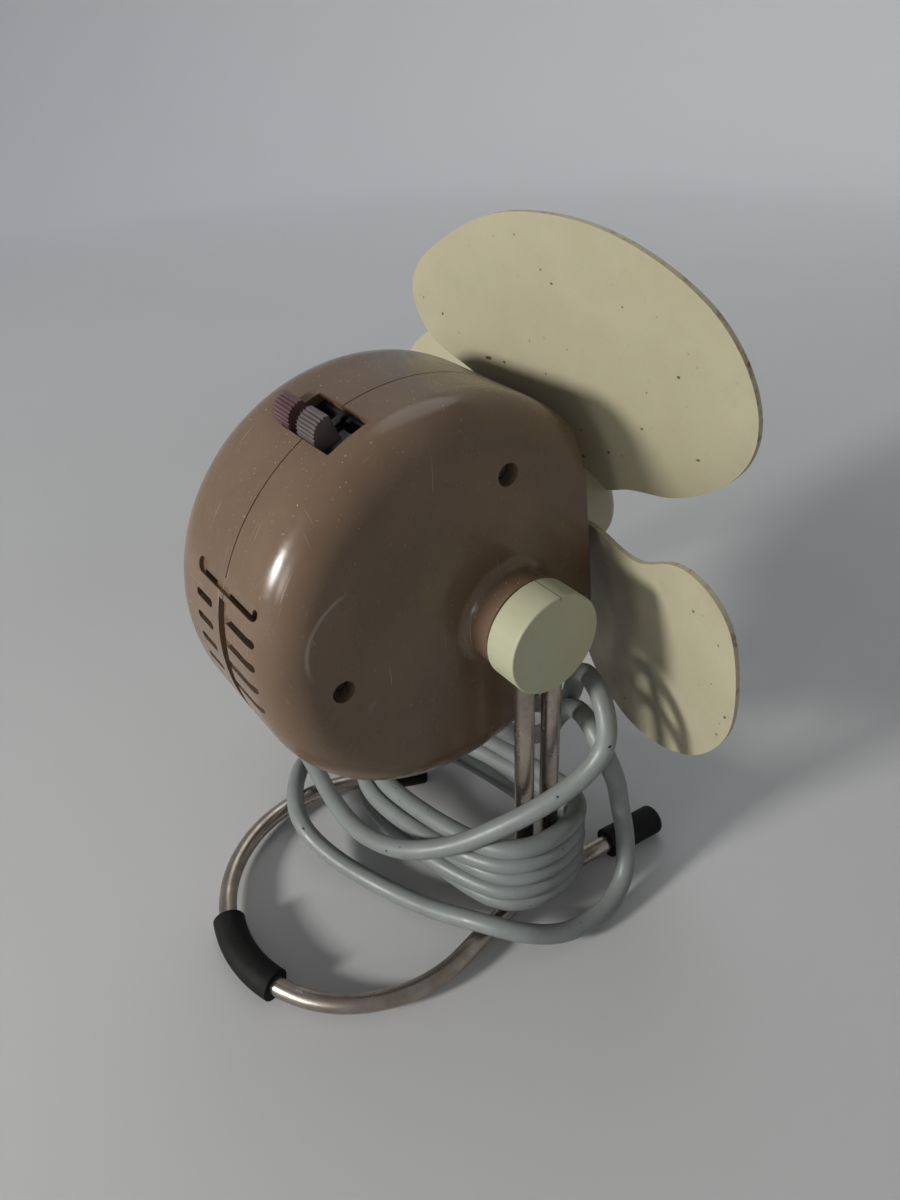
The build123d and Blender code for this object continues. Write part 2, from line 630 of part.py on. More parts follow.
def slider(side):
    """Ribbed thumb slider of the switch, at the rear end of its travel."""
    x, y = slider_x(side), slider_rest_y()
    floor = -SWITCH_SEAT + 0.1
    start, end = x - SLIDER_LENGTH / 2, x + SLIDER_LENGTH / 2
    side_view = Plane(origin=(start, 0, 0), x_dir=(0, 1, 0), z_dir=(1, 0, 0))
    profile, crown = thumb_profile(y, floor)
    thumb = extrude(side_view * profile, SLIDER_LENGTH)
    for index in range(SLIDER_RIBS):
        place = crown @ ((index + 0.5) / SLIDER_RIBS)
        thumb -= Pos(x, place.X, place.Y) * Rot(0, 90, 0) * Cylinder(RIB_GROOVE, 2 * SLIDER_LENGTH)
    inside = OPENING_LENGTH / 2 - SLIDER_GAP
    if end > inside:
        thumb -= block((inside, end + 1), (y - SLIDER_WIDTH, y + SLIDER_WIDTH), (floor - 1, THUMB_LIFT))
    middle, half = stem_x(side), STEM_SIDE / 2
    stem = block((middle - half, middle + half), (y - half, y + half), (floor - STEM_DEPTH, floor))
    return in_switch(thumb + stem)


def switch_tags():
    """Brass solder tags under the switch."""
    thick, wide, long = TERMINAL_TAG
    bottom = -SWITCH_SEAT - SWITCH_DEPTH
    tags = []
    for x in (-8.0, -3.0, 3.0, 8.0):
        tag = block((x - thick / 2, x + thick / 2), (-wide / 2, wide / 2), (bottom - long, bottom))
        tags.append(in_switch(tag))
    return Compound(children=tags)


# ---------------------------------------------------------------- motor
def lamination_stack():
    """C-shaped core: a pole block round the rotor, two arms and the bar that carries the coil."""
    half = STACK_HALF_HEIGHT
    y_range = (STACK_FRONT, STACK_REAR)
    core = block((-STACK_NEAR, BAR_END), y_range, (-half, half))
    core -= block((POLE_FAR, BAR_START), y_range, (-ARM_INNER, ARM_INNER))
    core -= along_y(STATOR_BORE, STACK_FRONT - 1, STACK_REAR + 1)
    core -= block((0, POLE_FAR + 1), (STACK_FRONT - 1, STACK_REAR + 1), (-1.0, 1.0))
    core -= block((-STACK_NEAR - 1, -STATOR_BORE + 1), (STACK_FRONT - 1, STACK_REAR + 1), (-1.0, 1.0))
    for side in (-1, 1):
        core -= along_y(BOLT_RADIUS + 0.05, STACK_FRONT - 1, STACK_REAR + 1, 0, side * BOLT_OFFSET)
        for place in shading_ranges(side):
            core -= block(*place)
    return core


def shading_ranges(side):
    """The two slots that one shading band passes through, as boxes."""
    y_range = (STACK_FRONT - 1, STACK_REAR + 1)
    band = SHADING_BAND + 0.1
    for x in (-8.0, -17.0):
        z = side * 17.6 if x < -10 else side * 15.2
        yield (x - band / 2, x + band / 2), y_range, tuple(sorted((z - side * 1.0, z + side * 1.6)))


def shading_bands():
    """Copper bands round a corner of each pole."""
    bands = []
    half = SHADING_BAND / 2
    for side in (-1, 1):
        (outer_x, inner_x), z_in, z_out = (-17.0, -8.0), side * 16.7, side * 16.75
        legs = []
        for x_range, y_range, z_range in shading_ranges(side):
            x = sum(x_range) / 2
            low, high = z_range
            depth = (STACK_FRONT - 0.9, STACK_REAR + 0.9)
            legs.append(block((x - half, x + half), depth, (low + 0.05, high - 0.05)))
        link_low = min(z_in, z_out) - 0.4
        link = (link_low, link_low + 0.9)
        front = block((outer_x - half, inner_x + half), (STACK_FRONT - 0.9, STACK_FRONT - 0.05), link)
        rear = block((outer_x - half, inner_x + half), (STACK_REAR + 0.05, STACK_REAR + 0.9), link)
        bands.append(legs[0] + legs[1] + front + rear)
    return Compound(children=bands)


def coil_bobbin():
    """Spool on the bar of the core."""
    reach = BOBBIN_WALL + COIL_THICKNESS
    half = ARM_INNER - 0.1
    x_range = (BAR_START - reach, BAR_END + reach)
    y_range = (STACK_FRONT - reach, STACK_REAR + reach)
    spool = block((BAR_START - BOBBIN_WALL, BAR_END + BOBBIN_WALL),
                  (STACK_FRONT - BOBBIN_WALL, STACK_REAR + BOBBIN_WALL), (-half, half))
    for side in (-1, 1):
        z_range = sorted((side * half, side * (half - BOBBIN_FLANGE)))
        spool += block(x_range, y_range, z_range)
    slack = 0.02
    depth = (STACK_FRONT - slack, STACK_REAR + slack)
    spool -= block((BAR_START - slack, BAR_END + slack), depth, (-half - 1, half + 1))
    return spool


def coil_winding():
    """Enamelled copper on the bobbin."""
    reach = BOBBIN_WALL + COIL_THICKNESS - 0.8
    half = ARM_INNER - 0.1 - BOBBIN_FLANGE - 0.02
    outer_depth = (STACK_FRONT - reach, STACK_REAR + reach)
    outer = block((BAR_START - reach, BAR_END + reach), outer_depth, (-half, half))
    outer = fillet(outer.edges().filter_by(Axis.Z), 3.0)
    inner = BOBBIN_WALL + 0.02
    inner_depth = (STACK_FRONT - inner, STACK_REAR + inner)
    return outer - block((BAR_START - inner, BAR_END + inner), inner_depth, (-half - 1, half + 1))


def motor_rotor():
    core = along_y(ROTOR_RADIUS, STACK_FRONT, STACK_REAR)
    core += along_y(ROTOR_RADIUS - 1.2, STACK_FRONT - END_RING, STACK_REAR + END_RING)
    return core - along_y(SHAFT_BORE, STACK_FRONT - END_RING - 1, STACK_REAR + END_RING + 1)


def motor_shaft():
    shaft = along_y(SHAFT_RADIUS, -HUB_OFFSET - HUB_FRONT + 2 * HUB_WALL, SHAFT_REAR)
    return chamfer(shaft.edges().filter_by(GeomType.CIRCLE), 0.4)


def bearing_bush(plate_y, outwards):
    """Sintered bush in a bracket's cup."""
    start = plate_y
    bush = along_y(BUSH_RADIUS, start, start + outwards * BUSH_LENGTH)
    return bush - along_y(SHAFT_RADIUS + RUNNING_CLEARANCE, start - 10, start + 10)


def motor_bracket(plate_y, outwards, leg_length):
    """Strap with two legs to the core and a cup for the bush; the cup points outwards."""
    face = plate_y
    strap = extrude(Plane((0, face, 0), x_dir=(0, 0, 1), z_dir=(0, outwards, 0))
                    * SlotOverall(2 * STACK_HALF_HEIGHT + 4, BRACKET_WIDTH), BRACKET_THICKNESS)
    strap += along_y(BUSH_RADIUS + CUP_WALL, face, face + outwards * BUSH_LENGTH)
    strap -= along_y(BUSH_RADIUS + 0.02, face - 20, face + 20)
    for side in (-1, 1):
        z = side * BOLT_OFFSET
        strap += along_y(LEG_RADIUS, face, face - outwards * leg_length, 0, z)
        strap -= along_y(BOLT_RADIUS + 0.05, face - 60, face + 60, 0, z)
    return strap


def motor_bolts():
    """Two through bolts with their nuts."""
    bolts = []
    front = FRONT_PLATE_Y - BRACKET_THICKNESS
    rear = REAR_PLATE_Y + BRACKET_THICKNESS
    for side in (-1, 1):
        z = side * BOLT_OFFSET
        bolt = along_y(BOLT_RADIUS, front, rear + 4.0, 0, z)
        bolt += along_y(BOLT_HEAD_RADIUS, front - BOLT_HEAD_HEIGHT, front, 0, z)
        nut = Plane((0, rear, z), x_dir=(1, 0, 0), z_dir=(0, 1, 0)) * RegularPolygon(BOLT_HEAD_RADIUS + 0.2, 6)
        bolt += extrude(nut, 2.2)
        bolts.append(bolt)
    return Compound(children=bolts)


def thrust_washers():
    """Fibre washers on the shaft between the rotor's collars and the bushes."""
    washers = []
    for edge, direction in ((FRONT_PLATE_Y, 1), (REAR_PLATE_Y, -1)):
        washer = along_y(BUSH_RADIUS - 0.2, edge + direction * 0.05, edge + direction * 0.65)
        washers.append(washer - along_y(SHAFT_BORE, edge - 5, edge + 5))
    return Compound(children=washers)


def shaft_collars():
    """Collars pressed on the shaft that carry the end thrust."""
    collars = []
    for edge, direction in ((FRONT_PLATE_Y, 1), (REAR_PLATE_Y, -1)):
        collar = along_y(BUSH_RADIUS, edge + direction * 0.7, edge + direction * 3.7)
        collars.append(collar - along_y(SHAFT_BORE, edge - 10, edge + 10))
    return Compound(children=collars)


# ---------------------------------------------------------------- impeller
def blade_pitch(radius):
    """Pitch falls from the root's angle towards the tip's."""
    fade = 2.0 ** (-(radius - BLADE_ROOT) / PITCH_FADE)
    return PITCH_TIP + (PITCH_ROOT - PITCH_TIP) * fade


def blade_station(radius):
    """Chord section of the blade: x outwards along the blade, y across it, z forwards."""
    lift = radius * tan(radians(BLADE_CONE))
    plane = Plane(origin=(radius, 0, lift), x_dir=(0, 1, 0), z_dir=(1, 0, 0))
    span = 2.2 * max(abs(across) for along, across in BLADE_OUTLINE)
    return plane * Rot(0, 0, blade_pitch(radius)) * Rectangle(span, BLADE_THICKNESS)


def blade():
    sheet = loft([blade_station(radius) for radius in BLADE_STATIONS])
    outline = make_face(Spline(*BLADE_OUTLINE, periodic=True))
    return sheet & extrude(outline, 60, both=True)


def impeller():
    """Hub and blades in one moulding, about Z, then set on the shaft to face forwards."""
    hub = Pos(0, 0, (HUB_FRONT - HUB_BACK) / 2) * Cylinder(HUB_RADIUS, HUB_BACK + HUB_FRONT)
    hub = fillet(hub.faces().sort_by(Axis.Z)[-1].edges(), HUB_ROUND)
    for index in range(BLADE_COUNT):
        hub += Rot(0, 0, index * 360 / BLADE_COUNT) * blade()
    depth = HUB_BACK + HUB_FRONT - HUB_WALL
    hub -= Pos(0, 0, -HUB_BACK + depth / 2) * Cylinder(HUB_RADIUS - HUB_WALL, depth)
    core = Cylinder(HUB_CORE, depth + 0.5) - Cylinder(HUB_BUSH_RADIUS + 0.01, 4 * depth)
    hub += Pos(0, 0, -HUB_BACK + (depth + 0.5) / 2) * core
    face = Plane(origin=(0, -HUB_OFFSET, 0), x_dir=(-1, 0, 0), z_dir=(0, -1, 0))
    return face.location * Rot(0, 0, -BLADE_PHASE) * hub


def hub_bush():
    """Metal bush in the hub, with a collar behind it for the grub screw."""
    rear = -HUB_OFFSET + HUB_BACK
    front = -HUB_OFFSET - HUB_FRONT + HUB_WALL + 0.5
    bush = along_y(HUB_BUSH_RADIUS, rear + 1.6, front)
    bush -= along_y(SHAFT_BORE, rear + 5, front - 5)
    return bush


# ---------------------------------------------------------------- cord outlet
def cord_boot():
    """Flanged gland in the far face with a tapered boot for the cord."""
    wall_in, wall_out = FAR_DEPTH - WALL, FAR_DEPTH
    boot = along_x(GLAND_FLANGE_RADIUS, wall_in - GLAND_FLANGE, wall_in)
    boot += along_x(GLAND_RADIUS, wall_in, wall_out)
    boot += along_x(GLAND_FLANGE_RADIUS, wall_out, wall_out + GLAND_FLANGE)
    boot += revolved_x((
        (wall_out + GLAND_FLANGE, 0), (wall_out + BOOT_LENGTH, 0),
        (wall_out + BOOT_LENGTH, BOOT_TIP_RADIUS), (wall_out + GLAND_FLANGE, BOOT_ROOT_RADIUS),
    ))
    boot -= along_x(CORD_RADIUS + CORD_BORE_CLEARANCE, wall_in - 20, wall_out + BOOT_LENGTH + 1)
    return at_pivot(boot)


def inner_cord():
    """The end of the cord inside the boot and the housing."""
    wall_in = FAR_DEPTH - WALL
    return at_pivot(along_x(CORD_RADIUS, wall_in - GLAND_FLANGE - INNER_CORD, FAR_DEPTH + BOOT_LENGTH))


def cord_run(points):
    """Cord laid through points, each corner rounded as far as its two runs allow."""
    corners = [Vector(*point) for point in points]
    radii = []
    for before, corner, after in zip(corners, corners[1:], corners[2:]):
        arriving, leaving = corner - before, after - corner
        half_turn = radians(arriving.get_angle(leaving)) / 2
        radii.append(FOLD_SHARE * min(arriving.length, leaving.length) / tan(half_turn))
    path = FilletPolyline(*corners, radius=radii)
    run = rod(path, CORD_RADIUS)
    print("cord radii", [round(radius, 1) for radius in radii])
    filled = run.volume / (path.length * pi * CORD_RADIUS ** 2)
    print("cord length", round(path.length, 1), "volume", round(filled, 3))
    return run


def cord_lead():
    exit_point = (FAR_DEPTH + BOOT_LENGTH, PIVOT_Y, PIVOT_HEIGHT)
    return cord_run((exit_point, *CORD_LEAD))


def cord_coil():
    """Outer shape of the wound turns round the legs of the stand."""
    middle = FilletPolyline(*COIL_PLAN, radius=COIL_CORNER, close=True)
    plan = make_face(Wire(middle.edges()))
    height = COIL_TOP + abs(COIL_SLOPE) * SEAM_BOX
    ring = extrude(offset(plan, COIL_WIDTH / 2), height) - extrude(offset(plan, -COIL_WIDTH / 2), height)
    ring = Pos(0, 0, COIL_BOTTOM) * ring
    top = Plane(origin=(0, 0, COIL_TOP), z_dir=(-COIL_SLOPE, 0, 1))
    return split(ring, bisect_by=top, keep=Keep.BOTTOM)


def at_plug(shape):
    """Pieces of the plug, made about the cord's axis with +X the way the pins point."""
    before, end = Vector(*CORD_TAIL[-2]), Vector(*CORD_TAIL[-1])
    heading = degrees(atan2(end.Y - before.Y, end.X - before.X))
    return Pos(end.X, end.Y, PLUG_HEIGHT / 2) * Rot(0, 0, heading) * shape


def plug_body():
    """Moulded two-pin plug with a sleeve for the cord."""
    body = block((PLUG_SLEEVE_LENGTH, PLUG_SLEEVE_LENGTH + PLUG_LENGTH),
                 (-PLUG_WIDTH / 2, PLUG_WIDTH / 2), (-PLUG_HEIGHT / 2, PLUG_HEIGHT / 2))
    body = fillet(body.edges().filter_by(Axis.X), PLUG_ROUND)
    body = chamfer(body.faces().sort_by(Axis.X)[0].edges(), PLUG_ROUND / 2)
    body += along_x(PLUG_SLEEVE_RADIUS, 0, PLUG_SLEEVE_LENGTH + 1)
    front = PLUG_SLEEVE_LENGTH + PLUG_LENGTH
    for side in (-1, 1):
        body -= along_x(PIN_SHANK_RADIUS + 0.02, front - PIN_ROOT, front + 1, side * PIN_SPACING / 2)
    return at_plug(body)


def plug_pin(side):
    front = PLUG_SLEEVE_LENGTH + PLUG_LENGTH
    y = side * PIN_SPACING / 2
    pin = along_x(PIN_RADIUS, front, front + PIN_LENGTH, y)
    tip = pin.faces().sort_by(Axis.X)[-1]
    pin = fillet(tip.edges(), PIN_RADIUS * 0.8)
    return at_plug(pin + along_x(PIN_SHANK_RADIUS, front - PIN_ROOT, front, y))


def terminal_block():
    """Two-way block on the far wall where the cord and the motor leads meet."""
    wall_in = FAR_DEPTH - WALL
    half_l, half_h = TERMINAL_LENGTH / 2, TERMINAL_HEIGHT / 2
    body = block((wall_in - TERMINAL_DEPTH, wall_in), (TERMINAL_Y - half_l, TERMINAL_Y + half_l),
                 (TERMINAL_Z - half_h, TERMINAL_Z + half_h))
    for y in terminal_places():
        hole = Cylinder(TERMINAL_HOLE_RADIUS, 3 * TERMINAL_HEIGHT)
        body -= Pos(wall_in - TERMINAL_DEPTH / 2, y, TERMINAL_Z) * hole
        body -= along_x(TERMINAL_SCREW_RADIUS + 0.1, wall_in - TERMINAL_DEPTH - 1, wall_in - TERMINAL_DEPTH / 2,
                        y, TERMINAL_Z)
    return body


def terminal_places():
    return TERMINAL_Y - TERMINAL_LENGTH / 4, TERMINAL_Y + TERMINAL_LENGTH / 4


def terminal_screws():
    top = FAR_DEPTH - WALL - TERMINAL_DEPTH + 0.4
    screws = []
    for y in terminal_places():
        screw = along_x(TERMINAL_SCREW_RADIUS, top, top + TERMINAL_DEPTH / 2 - 0.9, y, TERMINAL_Z)
        screws.append(screw - Pos(top, y, TERMINAL_Z) * Box(1.2, 0.6, 8))
    return Compound(children=screws)


# ---------------------------------------------------------------- assembly
def in_head(shape):
    """Sets a piece of the head over the stand, tilted about the pivot."""
    to_pivot = Pos(0, PIVOT_FORWARD, PIVOT_DROP)
    return Pos(0, PIVOT_Y, PIVOT_HEIGHT) * Rot(-TILT, 0, 0) * to_pivot * shape


housing_near, housing_far = housing()
HEAD = {
    "housing_near": housing_near,
    "housing_far": housing_far,
    "housing_screws": housing_screws(),
    "pivot_insert": pivot_insert(),
    "friction_washer": friction_washer(),
    "pivot_screw": pivot_screw(),
    "stator_stack": lamination_stack(),
    "shading_bands": shading_bands(),
    "coil_bobbin": coil_bobbin(),
    "coil_winding": coil_winding(),
    "bracket_front": motor_bracket(FRONT_PLATE_Y, -1, FRONT_LEG),
    "bracket_rear": motor_bracket(REAR_PLATE_Y, 1, REAR_LEG),
    "bush_front": bearing_bush(FRONT_PLATE_Y, -1),
    "bush_rear": bearing_bush(REAR_PLATE_Y, 1),
    "motor_bolts": motor_bolts(),
    "switch_body": switch_body(),
    "switch_tags": switch_tags(),
    "slider_plum": slider(1),
    "slider_grey": slider(-1),
    "terminal_block": terminal_block(),
    "terminal_screws": terminal_screws(),
    "cord_boot": cord_boot(),
    "inner_cord": inner_cord(),
    "motor_rotor": motor_rotor(),
    "motor_shaft": motor_shaft(),
    "shaft_collars": shaft_collars(),
    "thrust_washers": thrust_washers(),
    "impeller": impeller(),
    "hub_bush": hub_bush(),
}
BASE = {
    "stand_wire": stand_wire(),
    "foot_sleeve": foot_sleeve(),
    "foot_cap_front": front_foot_cap(),
    "foot_cap_tail": tail_foot_cap(),
    "clamp_plate": clamp_plate(),
    "pivot_cap": pivot_cap(),
}

CORD = {
    "cord_lead": cord_lead(),
    "cord_coil": cord_coil(),
    "cord_tail": cord_run(CORD_TAIL),
    "plug_body": plug_body(),
    "plug_pin_left": plug_pin(1),
    "plug_pin_right": plug_pin(-1),
}

nodes = {name: in_head(shape) for name, shape in HEAD.items()}
nodes.update(BASE)
box = Compound(list(nodes.values())).bounding_box()
shift = Pos(-(box.min.X + box.max.X) / 2, -(box.min.Y + box.max.Y) / 2, -box.min.Z)
print("origin of the part in the stand's coordinates", -shift.position)
print("box of the fan without its cord", box.size)
nodes.update(CORD)

for name, shape in nodes.items():
    export_step(shift * shape, f"parts/{name}.step")
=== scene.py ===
import json
from math import cos, pi, radians, sin

import bmesh
import bpy
from mathutils import Matrix, Vector


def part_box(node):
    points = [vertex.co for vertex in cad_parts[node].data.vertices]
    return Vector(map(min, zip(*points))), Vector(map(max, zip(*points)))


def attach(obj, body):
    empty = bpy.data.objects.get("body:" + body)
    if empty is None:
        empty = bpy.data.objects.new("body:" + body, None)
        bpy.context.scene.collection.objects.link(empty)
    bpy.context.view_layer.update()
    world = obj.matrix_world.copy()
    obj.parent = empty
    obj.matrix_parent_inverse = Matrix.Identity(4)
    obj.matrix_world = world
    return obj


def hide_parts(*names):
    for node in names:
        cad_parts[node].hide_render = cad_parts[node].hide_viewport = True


# The looks of a desk fan: a drum-shaped head on a bent-rod stand, its cord wound round the legs.
# The camera and the cord are laid out in millimetres from the stand's origin. All else is in metres.

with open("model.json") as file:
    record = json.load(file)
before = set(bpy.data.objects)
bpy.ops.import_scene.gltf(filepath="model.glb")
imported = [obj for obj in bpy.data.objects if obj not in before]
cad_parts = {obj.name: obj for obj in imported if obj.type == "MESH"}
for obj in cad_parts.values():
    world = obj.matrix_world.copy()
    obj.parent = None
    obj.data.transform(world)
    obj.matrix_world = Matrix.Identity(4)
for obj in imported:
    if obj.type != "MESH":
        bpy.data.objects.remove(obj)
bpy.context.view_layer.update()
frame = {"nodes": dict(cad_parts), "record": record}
nodes = frame["nodes"]

STAND_ORIGIN = Vector((-5.11384, -2.99391, 0.0))      # the stand's origin in the part, in millimetres


def from_stand(point):
    """A place given in millimetres from the stand's origin, in metres in the part."""
    return (Vector(point) + STAND_ORIGIN) / 1000


# ---------------------------------------------------------------- camera
CAMERA_PLACE = (-188.74, 117.81, 264.48)
CAMERA_YAW = -0.604
CAMERA_PITCH = 0.612
CAMERA_ROLL = -0.054
FOCAL_SHARE = 904.3 / 1200        # focal length as a share of the frame's height
SENSOR_WIDTH = 36.0               # in millimetres, along the frame's longer side


def add_camera():
    ahead = cos(CAMERA_PITCH)
    forward = Vector((ahead * cos(CAMERA_YAW), ahead * sin(CAMERA_YAW), -sin(CAMERA_PITCH)))
    level = forward.cross(Vector((0, 0, 1))).normalized()
    above = level.cross(forward)
    right = level * cos(CAMERA_ROLL) + above * sin(CAMERA_ROLL)
    up = above * cos(CAMERA_ROLL) - level * sin(CAMERA_ROLL)
    data = bpy.data.cameras.new("camera")
    data.sensor_width = SENSOR_WIDTH
    data.lens = FOCAL_SHARE * SENSOR_WIDTH
    data.clip_start = 0.01
    camera = bpy.data.objects.new("camera", data)
    turn = Matrix((right, up, -forward)).transposed().to_4x4()
    camera.matrix_world = Matrix.Translation(from_stand(CAMERA_PLACE)) @ turn
    bpy.context.scene.collection.objects.link(camera)
    bpy.context.scene.camera = camera


add_camera()

# ---------------------------------------------------------------- cord
CORD_RADIUS = 3.15
CORD_EXIT = (64, -14, 113)        # the mouth of the boot, on the axis that the head tilts about
CORD_LEAD = (
    # Down from the boot and round under the head to the back
    (80, -14, 113), (94, -12.5, 104), (101, -8, 85), (102, 0, 64), (98, 10, 46), (85, 17, 32), (66, 21, 24),
    (45, 23, 18), (23, 27, 19.5), (2, 29, 24), (-18, 25, 30.5), (-33, 14.5, 39), (-43.5, 3, 49.5),
    # Up into the tall arch in front of the legs
    (-50, -8, 57), (-53.5, -19.5, 63.5), (-55, -27, 71), (-53.5, -29.5, 79), (-47, -32.5, 85.5),
    (-39, -35.5, 86), (-33, -38, 82.5), (-29, -39.5, 76.5),
    # Down across the front and round the far side, then the outer loop that lies over the ring
    (-26, -40, 64), (-10, -39.5, 52), (8, -38.5, 44.5), (24, -35, 37.5), (40, -26, 29), (54, -12, 20),
    (61, 5, 12.5), (58, 21, 11.5), (45, 33, 12.7), (29, 39.5, 12.2), (13, 36, 6.5), (-6, 28, 3.5),
    (-27, 21, 7), (-44, 14, 13), (-56, 5, 12), (-61.5, -9, 5.5), (-62, -25, 4), (-59, -37.5, 8),
    # Up into the lower arch, and down into the coil
    (-53, -43, 20), (-50.5, -41, 36), (-53.5, -35.5, 51), (-55.5, -31, 60.5), (-50.5, -30, 69.5),
    (-42, -32, 73.5), (-33.5, -34, 71), (-27.5, -34.5, 63.5), (-24.5, -31.5, 53.5), (-12.5, -31, 44.5),
    (3, -31, 37.5),
)
CORD_TAIL = ((41, -27, 12), (58, -25.5, 8.5), (74, -29, 8.5))        # from the coil into the plug
# One turn of the coil in plan, from the far side round the back to the legs and forward again
COIL_PLAN = (
    (26, -25), (35, -9), (31, 7), (15, 14.5), (-8, 14), (-31, 9.5),
    (-45, 3.5), (-50.5, -8), (-48.5, -24.5), (-38, -32.5), (-20, -32), (5, -30),
)
COIL_MIDDLE = (-8, -9)
LAST_AT_LEGS = 8             # the plan's last place at the legs, from where a turn drops a level
COIL_TURNS = 5
COIL_FLOOR = 14.0            # axis of the lowest strand
STRAND_PITCH = 6.6
COIL_FAR_X = 35.0
COIL_LEG_X = -50.5


def coil_points():
    """Turns stacked one above the other at the legs, and bundled two by two at the far side."""
    middle = Vector(COIL_MIDDLE)
    points = []
    for step in range(COIL_TURNS * len(COIL_PLAN)):
        turn, index = divmod(step, len(COIL_PLAN))
        plan = Vector(COIL_PLAN[index])
        level = COIL_TURNS - 1 - turn
        share = (COIL_FAR_X - plan.x) / (COIL_FAR_X - COIL_LEG_X)
        bundle = level - 1 if index > LAST_AT_LEGS else level
        side = 1 if bundle % 2 else -1
        far_height = STRAND_PITCH * (max(bundle, 0) // 2)
        leg_height = STRAND_PITCH * (level + 0.5 - index / len(COIL_PLAN))
        height = COIL_FLOOR + (1 - share) * far_height + share * max(leg_height, 0)
        out = (plan - middle).normalized() * side * (1 - share) * STRAND_PITCH / 2
        points.append((plan.x + out.x, plan.y + out.y, height))
    return points


def curve_of(name, points, radius):
    """Smooth round cord along one open NURBS spline."""
    data = bpy.data.curves.new(name, "CURVE")
    data.dimensions = "3D"
    data.bevel_depth = 1.0                       # times each point's radius
    data.bevel_resolution = 6
    data.use_fill_caps = True
    spline = data.splines.new("NURBS")
    spline.points.add(len(points) - 1)
    for control, point in zip(spline.points, points):
        control.co = (*from_stand(point), 1)
        control.radius = radius / 1000
    spline.order_u = 3
    spline.use_endpoint_u = True
    spline.resolution_u = 10
    cord = bpy.data.objects.new(name, data)
    bpy.context.scene.collection.objects.link(cord)
    return cord


mains_cord = curve_of("mains_cord", (CORD_EXIT, *CORD_LEAD, *coil_points(), *CORD_TAIL), CORD_RADIUS)
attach(mains_cord, "stand")
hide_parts("cord_lead", "cord_coil", "cord_tail")


